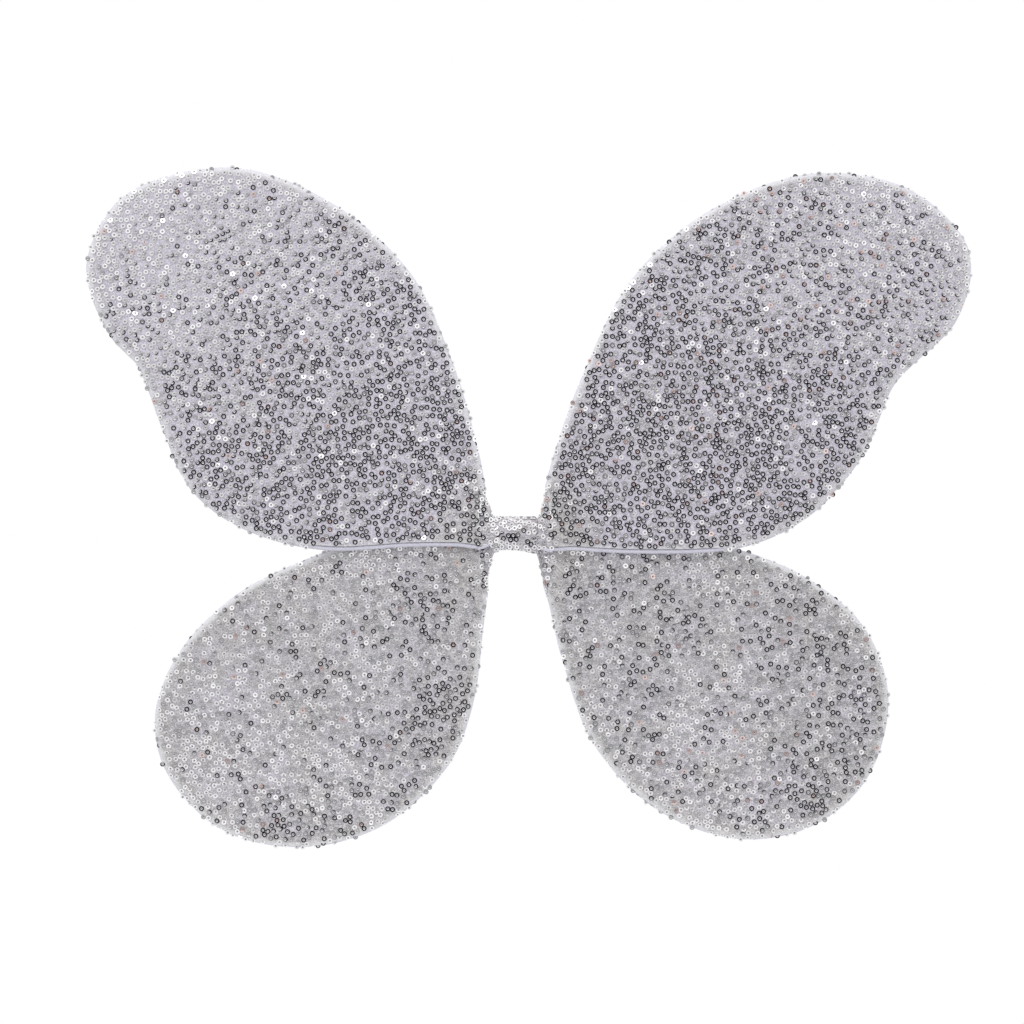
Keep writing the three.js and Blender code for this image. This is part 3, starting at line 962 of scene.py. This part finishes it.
    def build(self):
        row = np.linspace(0, 1, NECK_ROWS)[:, None]
        share = 0.5 - 0.5 * np.cos(np.linspace(0, math.pi, NECK_ACROSS))[None]
        front = self.points(row, share, -1)
        back = self.points(row, share[:, ::-1], 1)
        grid = np.concatenate([front, back[:, 1:-1]], 1)
        made = walled_tube(f"{self.wing.name}_neck", grid, CLOTH_THICKNESS, SEQUIN_CLOTH)
        gathered(made, grid, 3 * MM)
        dots = self.sequins()
        self.bend(made)
        self.bend(dots)

    def piping(self):
        """The wing's edge roll, carried on and thinning along the neck's lower edge."""
        row = np.linspace(1.06, 0.1, 24)
        line = self.points(row, 0 * row, -1) + [0, -0.3 * MM, 0.4 * MM]
        radius = np.linspace(ROLL_RADIUS, 0.45 * MM, 24)
        made = cloth_roll(f"{self.wing.name}_neck_piping", line, radius, 10)
        self.bend(made)

    def bend(self, obj):
        """Bakes a neck piece's placement into its mesh."""
        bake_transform(obj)

    def sequins(self):
        rng = np.random.default_rng(self.wing.seed + 50)
        row, across = rng.uniform((0.06, 0.03), (1.03, 0.97), (900, 2)).T
        centres = self.points(row, across, -1)
        shown = self.upper | (centres[:, 2] < -3 * MM)
        row, across, centres = row[shown], across[shown], centres[shown]
        kept = spread(centres, SEQUIN_SPACING * 0.96, 150)
        normals = jittered(self.normals(row[kept], across[kept]), rng, 4, 0.1)
        name = f"{self.wing.name}_neck_sequins"
        return sequins(name, centres[kept] + normals * 0.15 * MM, normals, rng, self.wing.rosy)


def gathered(made, grid, pitch):
    """Marks a tube's cloth as gathered, streaked along its length with its pleats' bump and painted
    shade and light, and paler behind.
    """
    rows, columns = grid.shape[:2]
    around = np.linalg.norm(np.roll(grid, -1, 1) - grid, axis=2)
    around = np.concatenate([np.zeros((rows, 1)), np.cumsum(around, 1)[:, :-1]], 1)
    along = np.linalg.norm(np.diff(grid, axis=0, prepend=grid[:1]), axis=2).cumsum(0)
    strand = np.stack([around.mean(0)[None] / (0.3 * pitch) + 0 * around, along / (3 * pitch),
                       0 * along], -1).reshape(-1, 3)
    mark(made, "strand", np.tile(strand, (2, 1)).reshape(-1), "FLOAT_VECTOR")
    count = 2 * rows * columns
    behind = smooth(grid[..., 1] - grid[..., 1].mean(1, keepdims=True), 0, 2 * MM)
    mark(made, "edge", np.tile(0.6 * behind.reshape(-1), 2))
    # Painted shade and light of pleats, with their bump, all over the tube.
    mark(made, "pleat_bump_and_shade", np.full(count, 0.6))
    mark(made, "warmth", np.full(count, 0.15))


# ---- the bridge's sleeve ----------------------------------------------------------------------


def sleeve_points(x, turn):
    """Points on the sleeve; turn is 0 at the front and runs up, over and round the back."""
    share = x / BRIDGE_END
    bottom = SLEEVE_LOW.z + 1.0 * MM - 1.5 * MM * (share + 0.28) ** 2
    middle, half = (SLEEVE_TOP + bottom) / 2, (SLEEVE_TOP - bottom) / 2
    deep = (SLEEVE_HIGH.y - SLEEVE_LOW.y) / 2
    c, s = np.cos(turn), np.sin(turn)
    y = -np.sign(c) * np.abs(c) ** 0.62 * deep
    z = np.sign(s) * np.abs(s) ** 0.62 * half
    lean = np.where(c > 0, smooth(z, -0.2 * half, half) * 0.5 * MM, 0)
    end = np.clip((np.abs(share) - 0.9) / 0.14, 0, 1)
    curl = 1 - 0.13 * end**2
    folds = 0.11 * MM * np.cos(13 * turn + 2.2 * share + np.sin(5 * turn))
    folds = folds + 0.07 * MM * np.cos(7 * turn - 4 * share)
    y = (y + lean) * curl + folds * -np.sign(c) * np.abs(c) ** 0.3
    z = z * curl + folds * s
    return np.stack([x + 0 * turn, SLEEVE_MIDDLE + y, middle + z], -1)


def bridge_sleeve():
    end = BRIDGE_END + 1.6 * MM
    x = np.linspace(-1, 1, SLEEVE_ROWS)[:, None] * end
    turn = full_turn(SLEEVE_AROUND)[None]
    grid = sleeve_points(x, turn)
    made = walled_tube("bridge_sleeve", grid, CLOTH_THICKNESS * 1.6, SEQUIN_CLOTH)
    gathered(made, grid, 3 * MM)
    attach(made, "bridge")
    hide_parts("centre_sleeve")
    rng = np.random.default_rng(77)
    x, turn = rng.uniform((-end, 0), (end, 2 * math.pi), (9000, 2)).T
    centres = sleeve_points(x, turn)
    kept = spread(centres, SEQUIN_SPACING * 0.93, 300)
    x, turn = x[kept], turn[kept]
    along = sleeve_points(x + 0.6 * MM, turn) - sleeve_points(x - 0.6 * MM, turn)
    around = sleeve_points(x, turn + 0.08) - sleeve_points(x, turn - 0.08)
    lift = smooth(centres[kept, 2:], -1 * MM, 4 * MM) * [0, 0, 0.16]
    normals = jittered(unit(np.cross(along, around)) + lift, rng, 4)
    dots = sequins("bridge_sequins", centres[kept] + normals * 0.1 * MM, normals, rng, 0.02)
    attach(dots, "bridge")


# ---- straps, patch and stitching --------------------------------------------------------------


def loop_line(hand):
    """The arm loop's centre line as [outward, up] points, in order along it."""
    points = node_points(f"{hand}_arm_loop")
    flat = np.unique(np.round(np.stack([np.abs(points[:, 0]), points[:, 2]], -1), 6), axis=0)
    centre = (flat.min(0) + flat.max(0)) / 2
    away = flat - centre
    turn = np.mod(np.arctan2(away[:, 1], -away[:, 0]), 2 * math.pi)
    order = np.argsort(turn)
    turn, reach = turn[order], np.linalg.norm(away, axis=1)[order]
    window = np.ones(4) / 4
    turn, reach = np.convolve(turn, window, "valid"), np.convolve(reach, window, "valid")
    return centre + np.stack([-np.cos(turn), np.sin(turn)], -1) * reach[:, None]


def strap_line(hand, tab, start, heights):
    """The strap's line as [outward, up] points, from one sewn-down end to the other."""
    line = loop_line(hand)
    line = line[line[:, 0] > start + 5 * MM]
    knots = [(out, heights[0]) for out in tab]
    knots.append((start + 0.5 * MM, heights[0] + 0.4 * MM))
    knots += [tuple(p) for p in line[2:-2:3]]
    knots.append((start + 0.5 * MM, heights[1] - 0.4 * MM))
    knots += [(out, heights[1]) for out in reversed(tab)]
    return through(knots, STRAP_STEPS)


def elastic_section(width, thickness):
    """The outline of ribbed elastic cut across, as [along its width, out] points."""
    share = np.linspace(-1, 1, RIB_COUNT * 4 + 1)
    rib = 0.5 * thickness * (0.86 + 0.14 * np.abs(np.cos(math.pi * RIB_COUNT * (share + 1) / 2)))
    rib = rib * np.minimum(1, 6 * (1.04 - np.abs(share))) ** 0.5
    front = np.stack([share * width / 2, rib], -1)
    return np.concatenate([front, front[::-1] * [1, -1]])


def strap(hand, side):
    """An arm loop and its two sewn-down ends, in one length of ribbed elastic."""
    low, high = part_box(f"{hand}_arm_loop")
    ends = [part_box(f"{hand}_strap_{level}_end") for level in ("upper", "lower")]
    tab_depth = (ends[0][0].y + ends[0][1].y) / 2
    thickness = ends[0][1].y - ends[0][0].y
    width = high.y - low.y
    heights = [(a.z + b.z) / 2 for a, b in ends]
    tab_in = min(abs(ends[0][0].x), abs(ends[0][1].x))
    tab_out = max(abs(ends[0][0].x), abs(ends[0][1].x))
    start = min(abs(low.x), abs(high.x))
    flat = strap_line(hand, (tab_in, (tab_in + tab_out) / 2, tab_out), start, heights)
    free = smooth(flat[:, 0], tab_out, start + 2.5 * MM)
    depth = tab_depth * (1 - free) + (low.y + high.y) / 2 * free
    points = np.stack([side * flat[:, 0], depth, flat[:, 1]], -1)
    ahead = unit(np.gradient(points, axis=0))
    backward = np.array([0.0, 1.0, 0.0])
    level = unit(np.cross(ahead, backward))
    twist = (free * math.pi / 2)[:, None]
    lower_half = np.arange(STRAP_STEPS)[:, None] > STRAP_STEPS / 2
    twist = np.where(lower_half, math.pi - twist, twist)
    across = level * np.cos(twist) + np.cross(ahead, level) * np.sin(twist)
    through_way = np.cross(ahead, across)
    section = elastic_section(width, thickness)
    rings = (
        points[:, None] + across[:, None] * section[None, :, :1]
        + through_way[:, None] * section[None, :, 1:]
    )
    made = solid_sweep(f"{hand}_arm_strap", rings, ELASTIC)
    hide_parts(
        f"{hand}_arm_loop", f"{hand}_strap_upper_end", f"{hand}_strap_lower_end"
    )
    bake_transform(made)


def stitch_run(start, end):
    """Evenly spaced stitches from one point to another, as pairs of ends."""
    start, end = np.array(start, float), np.array(end, float)
    length = np.linalg.norm(end - start)
    count = max(1, round(length / STITCH_PITCH))
    centres = (np.arange(count) + 0.5) / count
    half = 0.5 * STITCH_LENGTH / length
    return [(start + (end - start) * (c - half), start + (end - start) * (c + half))
            for c in centres]


def stitched_box(low, high):
    """The four sides and two diagonals of a box of stitches, as pairs of ends."""
    (near, down), (far, up) = low, high
    q = [(near, down), (far, down), (far, up), (near, up)]
    return [(q[i], q[(i + 1) % 4]) for i in range(4)] + [(q[0], q[2]), (q[3], q[1])]


def stitch_runs(low, high):
    """Every run of stitches: round the patch's edge and over the sewn-down strap ends."""
    left, foot = low.x + PATCH_STITCH_INSET, low.z + PATCH_STITCH_INSET
    right, head = high.x - PATCH_STITCH_INSET, high.z - PATCH_STITCH_INSET
    c = PATCH_STITCH_CORNER
    q = [(left + c, head), (right - c, head), (right, head - c), (right, foot + c),
         (right - c, foot), (left + c, foot), (left, foot + c), (left, head - c)]
    runs = [(q[i], q[i + 1]) for i in (0, 2, 4, 6)] + [(q[i - 1], q[i]) for i in (0, 2, 4, 6)]
    in_x, in_z = TAB_STITCH_INSET
    for hand in ("left", "right"):
        for level in ("upper", "lower"):
            a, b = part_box(f"{hand}_strap_{level}_end")
            runs += stitched_box((a.x + in_x, a.z + in_z), (b.x - in_x, b.z - in_z))
    return runs


def stitch_points(a, b, depth):
    """Points round one stitch, which rises from the cloth and dips into it again."""
    along = b - a
    aside = unit(np.array([-along[1], along[0]]))
    points = []
    for t in np.linspace(0, 1, THREAD_STEPS):
        rise = depth + THREAD_RADIUS * (1.1 * math.sin(math.pi * t) - 0.7)
        radius = THREAD_RADIUS * (0.35 + 0.65 * math.sin(math.pi * t) ** 0.5)
        centre = a + along * t
        for i in range(THREAD_SIDES):
            angle = 2 * math.pi * i / THREAD_SIDES
            spot = centre + aside * radius * math.cos(angle)
            points.append((spot[0], rise + radius * math.sin(angle), spot[1]))
    return points


def patch_stitches():
    """Thread round the patch's edge and over the sewn-down strap ends."""
    low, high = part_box("back_patch")
    stitches = [ends for run in stitch_runs(low, high) for ends in stitch_run(*run)]
    points = [point for a, b in stitches for point in stitch_points(a, b, high.y)]
    each = THREAD_SIDES * THREAD_STEPS
    one = quads(THREAD_STEPS, THREAD_SIDES, True)
    first = np.arange(THREAD_SIDES)
    caps = np.stack([first, each - 1 - first])
    shift = (np.arange(len(stitches)) * each)[:, None, None]
    faces = [(one[None] + shift).reshape(-1, 4), (caps[None] + shift).reshape(-1, THREAD_SIDES)]
    made = piece("patch_stitching", np.array(points), faces, THREAD)
    face_out(made)
    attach(made, "bridge")


def dress_packed_nodes():
    """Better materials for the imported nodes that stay, and a softened edge on the patch."""
    looks = {"wire": STEEL, "ferrule": ALUMINIUM, "tape": TAPE, "patch": PATCH_FELT}
    for name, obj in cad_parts.items():
        for word, look in looks.items():
            if word in name:
                obj.data.materials.clear()
                obj.data.materials.append(look)
    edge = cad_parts["back_patch"].modifiers.new("soft_edge", "BEVEL")
    edge.width = 0.45 * MM
    edge.segments = 3


# ---- floor, light and camera ------------------------------------------------------------------


def floor():
    made, tree, shader = material("pale_floor")
    place = node(tree, "TexCoord").outputs["Object"]
    speck = node(tree, "TexNoise", Vector=place, Scale=14.0, Detail=3.0)
    tree.links.new(
        mixed(tree, speck.outputs[0], (0.84, 0.84, 0.85, 1), (0.88, 0.88, 0.88, 1)),
        shader.inputs["Base Color"],
    )
    set_inputs(shader, Roughness=0.9)
    wide, z = FLOOR_HALF_WIDTH, CAD_BOX[0][2] - FLOOR_BELOW
    corners = [(-wide, FLOOR_FRONT, z), (wide, FLOOR_FRONT, z), (wide, FLOOR_BACK, z),
               (-wide, FLOOR_BACK, z)]
    under = [(x, y, z - 0.01) for x, y, _ in corners]
    sides = [(i, i + 4, (i + 1) % 4 + 4, (i + 1) % 4) for i in range(4)]
    slab = piece("floor", np.array(corners + under), [[(0, 1, 2, 3), (7, 6, 5, 4), *sides]], made)
    slab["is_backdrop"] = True


def studio_world():
    """A white room, dimmer low down, with a dark patch behind the camera for flat foil."""
    world = bpy.data.worlds.new("studio")
    bpy.context.scene.world = world
    world.use_nodes = True
    tree = world.node_tree
    tree.nodes.clear()
    way = node(tree, "TexCoord").outputs["Generated"]
    height = node(tree, "SeparateXYZ", Vector=way).outputs["Z"]
    low = node(tree, "ValToRGB", Fac=ranged(tree, height, low=-1.0))
    stops = low.color_ramp.elements
    stops[0].color = stops[1].color = (0, 0, 0, 1)
    for angle, level in LOW_BAND:
        stop = stops.new(0.5 + 0.5 * math.sin(math.radians(angle)))
        stop.color = (level, level, level, 1)
    aside, up = (math.tan(math.radians(angle)) for angle in DIM_MIDDLE)
    towards = Vector((aside, -1, up)).normalized()
    facing = node(tree, "VectorMath", operation="DOT_PRODUCT", in0=way, in1=tuple(towards))
    rims = np.cos(np.radians([DIM_RADIUS, DIM_RADIUS + DIM_SOFTNESS, HALO_RADIUS])).tolist()
    dim = ranged(tree, facing.outputs["Value"], rims[1], rims[0])
    halo = ranged(tree, facing.outputs["Value"], rims[2], rims[0], to_high=HALO_SHARE)
    room = mixed(tree, low.outputs[0], ROOM_COLOUR, LOW_COLOUR)
    room = mixed(tree, halo, room, LOW_COLOUR)
    room = mixed(tree, dim, room, DIM_COLOUR)
    light = node(tree, "Background", Color=room, Strength=1.0)
    white = node(tree, "Background", Color=(1, 1, 1, 1), Strength=1.0)
    seen = node(tree, "LightPath").outputs["Is Camera Ray"]
    final = node(tree, "MixShader", in0=seen, in1=light.outputs[0], in2=white.outputs[0])
    result = node(tree, "OutputWorld")
    tree.links.new(final.outputs[0], result.inputs["Surface"])


def softbox(name, place, size, power):
    lamp = bpy.data.lights.new(name, "AREA")
    lamp.shape = "RECTANGLE"
    lamp.size, lamp.size_y = size
    lamp.energy = power
    made = bpy.data.objects.new(name, lamp)
    made.location = place
    made.rotation_euler = (-Vector(place)).to_track_quat("-Z", "Y").to_euler()
    bpy.context.scene.collection.objects.link(made)


def camera():
    lens = bpy.data.cameras.new("camera")
    made = bpy.data.objects.new("camera", lens)
    bpy.context.scene.collection.objects.link(made)
    made.location = VIEW_AIM + Vector((0, -VIEW_DISTANCE, 0))
    made.rotation_euler = (math.pi / 2, 0, 0)
    to_wings = VIEW_DISTANCE + SLEEVE_MIDDLE
    lens.lens = lens.sensor_width * to_wings / VIEW_WIDTH
    bpy.context.scene.camera = made


camera()
floor()
studio_world()
softbox("key_softbox", (-0.7, -1.3, 1.7), (1.6, 1.0), 9.0)
bpy.context.scene.view_settings.view_transform = "Standard"

# ---- the object -------------------------------------------------------------------------------

# A flat spot is (across, up, reach, share): its middle and size in millimetres, and how flat.
WINGS = [
    Wing("upper_left", slack=0.08 * MM, tilt=1.9, loose=0.12, droop=-0.8, aside=1.3,
         flat_spots=(), rosy=0.012, seed=11),
    Wing("upper_right", slack=0.08 * MM, tilt=2, loose=0.1, droop=-0.8, aside=-0.4,
         flat_spots=((255, 140, 34, 1),), rosy=0.05, seed=23),
    Wing("lower_left", slack=0.2 * MM, tilt=4.8, loose=0.3, droop=10.8, aside=0,
         flat_spots=((-44, -106, 28, 1), (-95, -182, 24, 1), (-140, -176, 24, 1),
                     (-45, -28, 24, 0.4), (-60, -158, 18, 0.6), (-66, -60, 20, 0.3)),
         rosy=0.015, seed=37),
    Wing("lower_right", slack=0.2 * MM, tilt=4.8, loose=0.3, droop=9.9, aside=0,
         flat_spots=((210, -92, 26, 0.6), (172, -154, 25, 0.8), (196, -126, 24, 0.5),
                     (45, -30, 28, 0.45), (100, -50, 26, 0.3), (160, -60, 24, 0.4)),
         rosy=0.02, seed=41),
]
for wing, mouth, fall in zip(WINGS, (9.6, 13.2, 9.6, 9.6), (-5.2, -8.2, 0, 0)):
    neck = Neck(wing, mouth * MM, fall * MM)
    dress_wing(wing, neck)
    neck.build()
    if neck.upper:
        neck.piping()
bridge_sleeve()
for hand, side in (("left", -1), ("right", 1)):
    strap(hand, side)
patch_stitches()
dress_packed_nodes()

{"cad": CAD_BOX, "visual": [list(corner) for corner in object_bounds()]}
